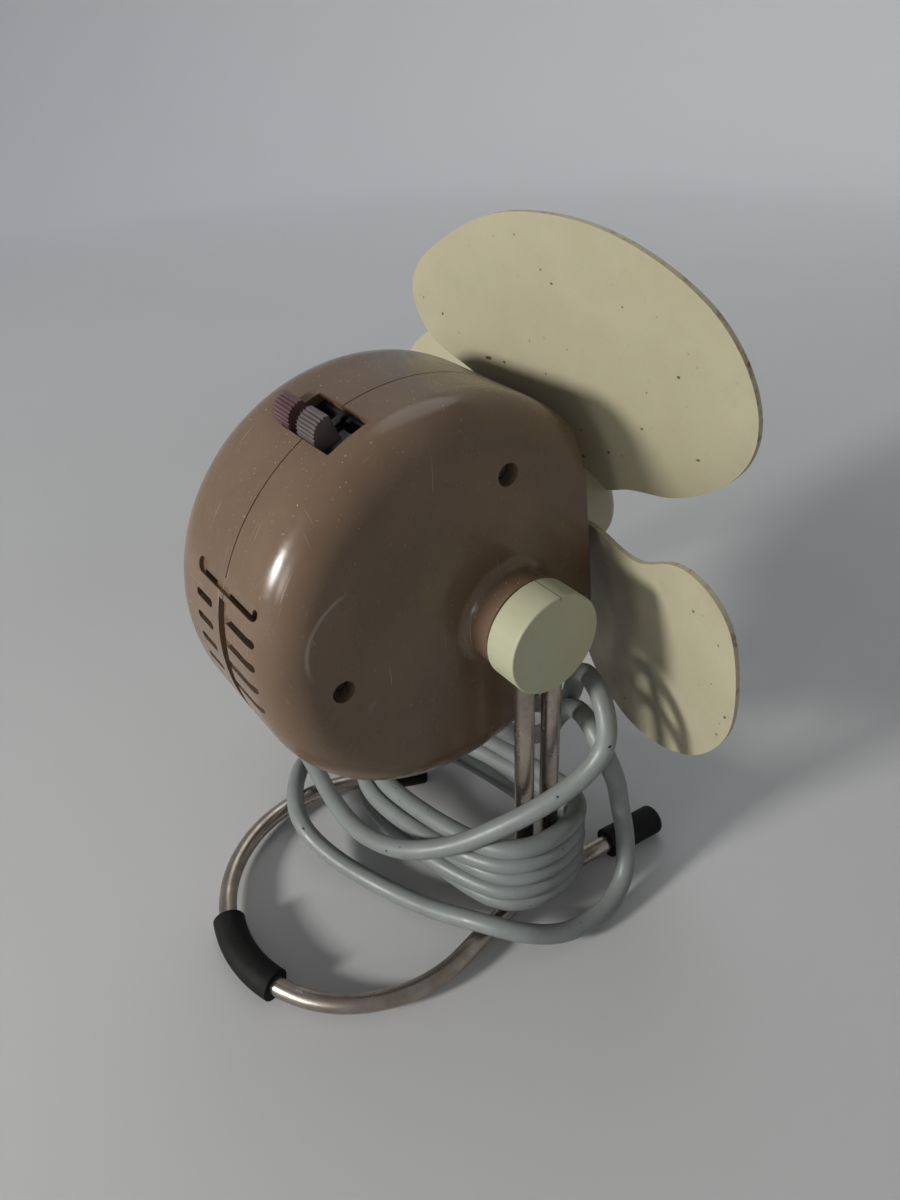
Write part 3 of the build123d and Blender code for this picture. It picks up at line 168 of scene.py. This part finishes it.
# ---------------------------------------------------------------- materials
class Finish:
    """A material and the helpers that wire its texture nodes."""

    def __init__(self, name, **shader):
        self.material = bpy.data.materials.new(name)
        self.material.use_nodes = True
        self.tree = self.material.node_tree
        self.shader = self.tree.nodes["Principled BSDF"]
        for socket, value in shader.items():
            self.shader.inputs[socket.replace("_", " ")].default_value = value
        self.place = self.tree.nodes.new("ShaderNodeTexCoord").outputs["Object"]

    def link(self, source, socket):
        self.tree.links.new(source, socket)
        return source

    def stretched(self, scale, turn=(0, 0, 0)):
        """Object coordinates scaled along each axis."""
        mapping = self.tree.nodes.new("ShaderNodeMapping")
        mapping.inputs["Scale"].default_value = scale
        mapping.inputs["Rotation"].default_value = [radians(angle) for angle in turn]
        self.link(self.place, mapping.inputs["Vector"])
        return mapping.outputs["Vector"]

    def noise(self, scale, detail=3.0, roughness=0.5, place=None):
        texture = self.tree.nodes.new("ShaderNodeTexNoise")
        texture.inputs["Scale"].default_value = scale
        texture.inputs["Detail"].default_value = detail
        texture.inputs["Roughness"].default_value = roughness
        self.link(place or self.place, texture.inputs["Vector"])
        return texture.outputs["Fac"]

    def waves(self, axis, scale, distortion):
        """Even lines across one axis."""
        texture = self.tree.nodes.new("ShaderNodeTexWave")
        texture.bands_direction = axis
        texture.inputs["Scale"].default_value = scale
        texture.inputs["Distortion"].default_value = distortion
        self.link(self.place, texture.inputs["Vector"])
        return texture.outputs["Fac"]

    def band(self, value, low, high, to_low=0.0, to_high=1.0):
        """value taken from low..high to to_low..to_high, clamped."""
        span = self.tree.nodes.new("ShaderNodeMapRange")
        for socket, number in zip(("From Min", "From Max", "To Min", "To Max"), (low, high, to_low, to_high)):
            span.inputs[socket].default_value = number
        self.link(value, span.inputs["Value"])
        return span.outputs["Result"]

    def mix(self, factor, first, second):
        """Colour between first and second; each is a colour or an output."""
        blend = self.tree.nodes.new("ShaderNodeMix")
        blend.data_type = "RGBA"
        self.link(factor, blend.inputs["Factor"])
        for socket, colour in (("A", first), ("B", second)):
            target = [item for item in blend.inputs if item.name == socket and item.type == "RGBA"][0]
            if isinstance(colour, tuple):
                target.default_value = (*colour, 1)
            else:
                self.link(colour, target)
        return [item for item in blend.outputs if item.type == "RGBA"][0]

    def reckon(self, operation, first, second):
        """One math node; each value is a number or an output."""
        step = self.tree.nodes.new("ShaderNodeMath")
        step.operation = operation
        for socket, value in zip(step.inputs, (first, second)):
            if isinstance(value, (int, float)):
                socket.default_value = value
            else:
                self.link(value, socket)
        return step.outputs["Value"]

    def times(self, first, second):
        return self.reckon("MULTIPLY", first, second)

    def plus(self, first, second):
        return self.reckon("ADD", first, second)

    def larger(self, first, second):
        return self.reckon("MAXIMUM", first, second)

    def size_of(self, value):
        """The value without its sign."""
        return self.reckon("ABSOLUTE", value, 0.0)

    def colour(self, source):
        self.link(source, self.shader.inputs["Base Color"])

    def rough(self, source):
        self.link(source, self.shader.inputs["Roughness"])

    def relief(self, height, depth, strength=1.0):
        """Bump of the given depth in metres."""
        bump = self.tree.nodes.new("ShaderNodeBump")
        bump.inputs["Distance"].default_value = depth
        bump.inputs["Strength"].default_value = strength
        self.link(height, bump.inputs["Height"])
        self.link(bump.outputs["Normal"], self.shader.inputs["Normal"])

    def away(self, centre):
        """Distance from a place, in metres."""
        reach = self.tree.nodes.new("ShaderNodeVectorMath")
        reach.operation = "DISTANCE"
        reach.inputs[1].default_value = centre
        self.link(self.place, reach.inputs[0])
        return reach.outputs["Value"]

    def ring_mark(self, centre, radius, width):
        """1 within width of a sphere's surface about centre, in metres."""
        off = self.size_of(self.plus(self.away(centre), -radius))
        return self.band(off, 0.0, width, 1.0, 0.0)

    def along(self, axis):
        """Object coordinate along one axis, in metres."""
        parts = self.tree.nodes.new("ShaderNodeSeparateXYZ")
        self.link(self.place, parts.inputs["Vector"])
        return parts.outputs[axis]

    def facing(self, direction):
        """How squarely the surface faces along a direction of the piece, either way: 0 to 1."""
        normal = self.tree.nodes.new("ShaderNodeTexCoord").outputs["Normal"]
        dot = self.tree.nodes.new("ShaderNodeVectorMath")
        dot.operation = "DOT_PRODUCT"
        dot.inputs[1].default_value = direction
        self.link(normal, dot.inputs[0])
        return self.size_of(dot.outputs["Value"])

    def line_mark(self, across, place, above):
        """1 on a hair line at a place along the axis across, only above a height, in metres."""
        off = self.size_of(self.plus(self.along(across), -place))
        high = self.band(self.along("Z"), above, above + 0.0003)
        return self.times(self.band(off, 0.0001, 0.0003, 1.0, 0.0), high)

    def upward(self):
        """How far the surface faces up, 0 to 1."""
        geometry = self.tree.nodes.new("ShaderNodeNewGeometry")
        parts = self.tree.nodes.new("ShaderNodeSeparateXYZ")
        self.link(geometry.outputs["Normal"], parts.inputs["Vector"])
        return self.band(parts.outputs["Z"], 0.2, 1.0)


def streaks(finish, scale, turn, low, high):
    """Long thin scratches along one direction."""
    return finish.band(finish.noise(1.0, 2.0, 0.5, finish.stretched(scale, turn)), low, high)


# Marks that have a place of their own on the part
SCUFF_CENTRE = (-0.0311, 0.0292, 0.1246)        # by the lower screw's hole
SCUFF_RADIUS = 0.0168
SCUFF_WIDTH = 0.0008
SCUFF_BACK = (0.032, 0.036)                     # fades in over these places along Y
SCUFF_UPPER = (0.119, 0.125)                    # and over these heights
BLADE_FACING = (0.0, -0.985, 0.174)             # which way the impeller faces at rest
BLADE_ROOTS = (0.03, 0.045)                     # from the hub, where the chipped rims begin
CAP_LINES = ((-0.0183, 0.1272), (-0.0272, 0.1236))        # moulding lines: place along Y, lower end


def housing_brown():
    """Glossy phenolic: soft clouds, fine scratches, a scuff, dust on top, and a painted shade band round the
    boss's end.
    """
    finish = Finish("housing_brown", Specular_IOR_Level=0.42)
    cloud = finish.noise(28, 4.0, 0.6)
    base = finish.mix(finish.band(cloud, 0.35, 0.7), (0.122, 0.079, 0.049), (0.154, 0.102, 0.065))

    fine = finish.larger(
        streaks(finish, (40, 1500, 40), (0, 0, 25), 0.71, 0.76),
        streaks(finish, (1400, 55, 55), (15, 40, 0), 0.7, 0.75))
    patch = finish.band(finish.noise(30, 2.0, 0.5), 0.5, 0.62)
    scratch = finish.times(fine, patch)
    base = finish.mix(finish.times(scratch, 0.4), base, (0.42, 0.34, 0.27))

    arc = finish.times(
        finish.band(finish.along("Y"), *SCUFF_BACK), finish.band(finish.along("Z"), *SCUFF_UPPER))
    scuff = finish.times(finish.ring_mark(SCUFF_CENTRE, SCUFF_RADIUS, SCUFF_WIDTH), arc)
    scuffed = finish.times(scuff, finish.band(cloud, 0.35, 0.6, 0.08, 0.35))
    base = finish.mix(scuffed, base, (0.5, 0.46, 0.42))

    dust = finish.band(finish.noise(1300, 1.0, 0.5), 0.74, 0.77)
    settled = finish.times(dust, finish.band(finish.upward(), 0.0, 1.0, 0.25, 0.8))
    base = finish.mix(settled, base, (0.5, 0.47, 0.42))

    # Painted shade: a near-black band on the boss's end by the gap under the cap, fading out within 0.8 mm.
    boss_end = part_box("housing_near")[0][0]
    gap_shade = finish.band(finish.along("X"), boss_end + 0.0004, boss_end + 0.0008, 1.0, 0.0)
    base = finish.mix(finish.times(gap_shade, 0.85), base, (0.012, 0.009, 0.007))
    finish.colour(base)

    haze = finish.band(finish.noise(90, 4.0, 0.7), 0.3, 0.8, 0.15, 0.34)
    finish.rough(finish.plus(haze, finish.times(scratch, 0.3)))
    finish.relief(finish.noise(260, 1.0, 0.5), 0.00002, 0.3)
    return finish.material


def blade_cream():
    """Aged cream moulding: clouds, grime, dark specks and chips along the rims."""
    finish = Finish("blade_cream", Specular_IOR_Level=0.4, Subsurface_Weight=0.12, Subsurface_Scale=0.003)
    cloud = finish.noise(22, 5.0, 0.62)
    base = finish.mix(finish.band(cloud, 0.3, 0.75), (0.37, 0.34, 0.225), (0.43, 0.4, 0.28))
    grime = finish.times(finish.band(finish.noise(60, 6.0, 0.72), 0.5, 0.78), finish.band(cloud, 0.4, 0.65))
    base = finish.mix(finish.times(grime, 0.4), base, (0.24, 0.2, 0.135))

    fine = finish.band(finish.noise(850, 2.0, 0.6), 0.7, 0.76)
    coarse = finish.band(finish.noise(330, 1.0, 0.5), 0.765, 0.775)
    base = finish.mix(finish.larger(finish.times(fine, 0.35), coarse), base, (0.1, 0.075, 0.045))

    rim = finish.band(finish.facing(BLADE_FACING), 0.3, 0.75, 1.0, 0.0)
    hub = [(low + high) / 2 for low, high in zip(*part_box("hub_bush"))]
    rim = finish.times(rim, finish.band(finish.away(hub), *BLADE_ROOTS))
    chips = finish.times(rim, finish.band(finish.noise(240, 5.0, 0.7), 0.54, 0.62))
    base = finish.mix(finish.times(chips, 0.65), base, (0.15, 0.115, 0.07))
    finish.colour(base)
    finish.rough(finish.band(finish.noise(130, 4.0, 0.6), 0.3, 0.75, 0.4, 0.62))
    finish.relief(finish.noise(480, 3.0, 0.6), 0.00004, 0.5)
    return finish.material


def cap_cream():
    """The cap's greener cream, with grime and two moulding lines."""
    finish = Finish("cap_cream", Specular_IOR_Level=0.45, Subsurface_Weight=0.08, Subsurface_Scale=0.002)
    cloud = finish.noise(45, 4.0, 0.6)
    base = finish.mix(finish.band(cloud, 0.3, 0.7), (0.365, 0.365, 0.24), (0.405, 0.405, 0.28))
    grime = finish.band(finish.noise(320, 4.0, 0.7), 0.6, 0.8)
    base = finish.mix(finish.times(grime, 0.3), base, (0.21, 0.2, 0.13))
    lines = finish.larger(*(finish.line_mark("Y", place, above) for place, above in CAP_LINES))
    base = finish.mix(finish.times(lines, 0.8), base, (0.1, 0.085, 0.055))
    finish.colour(base)
    finish.rough(finish.band(finish.noise(200, 3.0, 0.6), 0.3, 0.7, 0.38, 0.55))
    finish.relief(finish.noise(900, 2.0, 0.5), 0.00003, 0.5)
    return finish.material


def rod_nickel():
    """Dull nickel plate, rusted through in patches."""
    finish = Finish("rod_nickel")
    tarnish = finish.band(finish.noise(70, 5.0, 0.65), 0.35, 0.7)
    base = finish.mix(tarnish, (0.5, 0.44, 0.385), (0.27, 0.225, 0.185))
    pits = finish.band(finish.noise(330, 6.0, 0.78), 0.63, 0.7)
    patch = finish.band(finish.noise(55, 3.0, 0.6), 0.42, 0.6)
    rust = finish.times(pits, patch)
    finish.colour(finish.mix(rust, base, (0.055, 0.03, 0.02)))
    finish.link(finish.band(rust, 0.0, 1.0, 1.0, 0.1), finish.shader.inputs["Metallic"])
    finish.rough(finish.plus(finish.band(tarnish, 0.0, 1.0, 0.24, 0.42), finish.times(rust, 0.4)))
    finish.relief(finish.plus(finish.noise(900, 3.0, 0.6), rust), 0.00006, 0.5)
    return finish.material


def rubber_black():
    """Dull rubber with a little dust on top."""
    finish = Finish("rubber_black", Specular_IOR_Level=0.2)
    cloud = finish.band(finish.noise(120, 5.0, 0.7), 0.35, 0.75)
    base = finish.mix(cloud, (0.004, 0.004, 0.004), (0.009, 0.009, 0.008))
    dust = finish.times(finish.upward(), finish.band(finish.noise(500, 3.0, 0.7), 0.5, 0.8))
    finish.colour(finish.mix(finish.times(dust, 0.08), base, (0.12, 0.11, 0.09)))
    finish.rough(finish.band(cloud, 0.0, 1.0, 0.6, 0.82))
    finish.relief(finish.noise(1100, 3.0, 0.6), 0.00008, 0.6)
    return finish.material


def cord_grey():
    """Grey cord sheath with grime and dark specks."""
    finish = Finish("cord_grey", Specular_IOR_Level=0.45)
    cloud = finish.noise(35, 4.0, 0.6)
    base = finish.mix(finish.band(cloud, 0.3, 0.7), (0.155, 0.168, 0.162), (0.215, 0.232, 0.224))
    grime = finish.band(finish.noise(160, 6.0, 0.75), 0.52, 0.8)
    base = finish.mix(finish.times(grime, 0.35), base, (0.12, 0.112, 0.1))
    speck = finish.band(finish.noise(420, 2.0, 0.5), 0.735, 0.755)
    finish.colour(finish.mix(speck, base, (0.02, 0.018, 0.016)))
    finish.rough(finish.band(finish.noise(220, 3.0, 0.6), 0.3, 0.7, 0.34, 0.5))
    finish.relief(finish.noise(300, 3.0, 0.6), 0.00008, 0.4)
    return finish.material


def plastic(name, dark, light, low_gloss, high_gloss, grain=800):
    """Moulded plastic: two tones of one colour in clouds, with a fine grain."""
    finish = Finish(name, Specular_IOR_Level=0.5)
    finish.colour(finish.mix(finish.band(finish.noise(150, 4.0, 0.65), 0.3, 0.75), dark, light))
    finish.rough(finish.band(finish.noise(260, 3.0, 0.6), 0.3, 0.7, low_gloss, high_gloss))
    finish.relief(finish.noise(grain, 2.0, 0.5), 0.00003, 0.5)
    return finish.material


def metal(name, dark, light, low_gloss, high_gloss, scale=(60, 60, 60)):
    """Bare metal with a drawn or turned grain."""
    finish = Finish(name, Metallic=1.0)
    grain = finish.noise(12.0, 5.0, 0.65, finish.stretched(scale))
    finish.colour(finish.mix(finish.band(grain, 0.3, 0.75), dark, light))
    finish.rough(finish.band(grain, 0.3, 0.7, low_gloss, high_gloss))
    finish.relief(grain, 0.00003, 0.4)
    return finish.material


def core_steel():
    """Stacked sheets, seen as fine lines across the stack."""
    finish = Finish("core_steel", Metallic=1.0)
    lines = finish.band(finish.waves("Y", 310, 0.6), 0.2, 0.6)
    finish.colour(finish.mix(lines, (0.05, 0.05, 0.055), (0.24, 0.24, 0.25)))
    finish.rough(finish.band(finish.noise(180, 4.0, 0.6), 0.3, 0.7, 0.4, 0.6))
    finish.relief(lines, 0.0001, 0.6)
    return finish.material


def winding_copper():
    """Fine enamelled wire, seen as close turns."""
    finish = Finish("winding_copper", Metallic=1.0)
    lines = finish.band(finish.waves("Z", 420, 1.5), 0.1, 0.8)
    finish.colour(finish.mix(lines, (0.16, 0.05, 0.02), (0.62, 0.27, 0.12)))
    finish.rough(finish.band(lines, 0.0, 1.0, 0.45, 0.28))
    finish.relief(lines, 0.0001, 0.8)
    return finish.material


finishes = {
    "housing_brown": housing_brown(),
    "blade_cream": blade_cream(),
    "cap_cream": cap_cream(),
    "rod_nickel": rod_nickel(),
    "rubber_black": rubber_black(),
    "cord_grey": cord_grey(),
    "black_plastic": plastic("black_plastic", (0.01, 0.01, 0.011), (0.036, 0.035, 0.034), 0.28, 0.45),
    "slider_plum": plastic("slider_plum", (0.08, 0.038, 0.042), (0.125, 0.068, 0.072), 0.35, 0.5),
    "slider_grey": plastic("slider_grey", (0.078, 0.062, 0.062), (0.12, 0.1, 0.099), 0.35, 0.5),
    "screw_steel": metal("screw_steel", (0.42, 0.4, 0.37), (0.62, 0.6, 0.56), 0.25, 0.42, (30, 30, 120)),
    "brass": metal("brass", (0.42, 0.27, 0.1), (0.68, 0.49, 0.22), 0.25, 0.42),
    "aluminium": metal("aluminium", (0.48, 0.48, 0.48), (0.66, 0.66, 0.66), 0.35, 0.55),
    "core_steel": core_steel(),
    "bobbin_white": plastic("bobbin_white", (0.5, 0.5, 0.45), (0.62, 0.62, 0.57), 0.4, 0.55),
    "washer_fibre": plastic("washer_fibre", (0.12, 0.045, 0.02), (0.24, 0.1, 0.05), 0.6, 0.8, 400),
}


def paint(thing, finish):
    thing.data.materials.clear()
    thing.data.materials.append(finish)


slots = {entry["node"]: entry["material_slot"] for entry in frame["record"]["subparts"]}
for name, thing in nodes.items():
    paint(thing, finishes[slots[name]])
paint(nodes["coil_winding"], winding_copper())
paint(mains_cord, finishes["cord_grey"])


# ---------------------------------------------------------------- floor and light
FLOOR_REACH = 1.1            # radius of the flat floor
SWEEP = 0.45                 # radius of the bend up to the wall
SWEEP_STEPS = 16
WALL_TOP = 1.7
# Painted shade near the fan and painted light further off: the floor's colour runs from the first to the
# second with distance.
FLOOR_SHADED_NEAR = (0.49, 0.49, 0.485)
FLOOR_LIT_FAR = (0.8, 0.805, 0.81)
FAN_MIDDLE = (0, 0, 0.1)     # what the two lamps behind the fan aim at


def add_floor():
    """Pale floor that sweeps up all round, open at the top, with painted shade near the fan and painted light
    further off.
    """
    angles = [pi * step / (2 * SWEEP_STEPS) for step in range(SWEEP_STEPS + 1)]
    bend = [(FLOOR_REACH + SWEEP * sin(angle), SWEEP * (1 - cos(angle))) for angle in angles]
    profile = [(0.0, 0.0), *bend, (FLOOR_REACH + SWEEP, WALL_TOP)]
    mesh = bpy.data.meshes.new("floor")
    form = bmesh.new()
    chain = [form.verts.new((x, 0, z)) for x, z in profile]
    edges = [form.edges.new(pair) for pair in zip(chain, chain[1:])]
    bmesh.ops.spin(
        form, geom=chain + edges, cent=(0, 0, 0), axis=(0, 0, 1), angle=2 * pi, steps=96, use_duplicate=False)
    bmesh.ops.remove_doubles(form, verts=form.verts, dist=1e-5)
    for face in form.faces:
        face.smooth = True
    form.to_mesh(mesh)
    form.free()
    floor = bpy.data.objects.new("floor", mesh)
    bpy.context.scene.collection.objects.link(floor)
    finish = Finish("floor_pale", Roughness=0.85, Specular_IOR_Level=0.15)
    # Painted shade and light: the floor is darker near the fan and lighter further out.
    far = finish.band(finish.away((0, 0, 0)), 0.25, 1.2)
    cloud = finish.band(finish.noise(2.5, 4.0, 0.55), 0.2, 0.8, -0.06, 0.06)
    finish.colour(finish.mix(finish.plus(far, cloud), FLOOR_SHADED_NEAR, FLOOR_LIT_FAR))
    floor.data.materials.append(finish.material)


def add_lamp(name, place, target, size, power, colour, spread):
    """Round area lamp; its spread is in degrees."""
    data = bpy.data.lights.new(name, "AREA")
    data.shape = "DISK"
    data.size = size
    data.energy = power
    data.color = colour
    data.spread = radians(spread)
    lamp = bpy.data.objects.new(name, data)
    direction = Vector(target) - Vector(place)
    lamp.rotation_euler = direction.to_track_quat("-Z", "Y").to_euler()
    lamp.location = place
    bpy.context.scene.collection.objects.link(lamp)


def add_world():
    world = bpy.data.worlds.new("studio")
    world.use_nodes = True
    background = world.node_tree.nodes["Background"]
    background.inputs["Color"].default_value = (0.9, 0.93, 1.0, 1)
    background.inputs["Strength"].default_value = 0.24
    bpy.context.scene.world = world


add_floor()
add_world()
add_lamp("key", (0.12, 1.25, 0.54), FAN_MIDDLE, 0.22, 4.7, (1.0, 0.985, 0.96), 100)
add_lamp("side", (-0.4, 1.2, 0.42), FAN_MIDDLE, 0.3, 0.6, (1.0, 0.99, 0.97), 100)
add_lamp("top", (0.6, -0.6, 1.6), (0.1, -0.2, 0), 1.2, 4.5, (0.97, 0.985, 1.0), 180)
bpy.context.scene.view_settings.view_transform = "Standard"

bpy.context.view_layer.update()
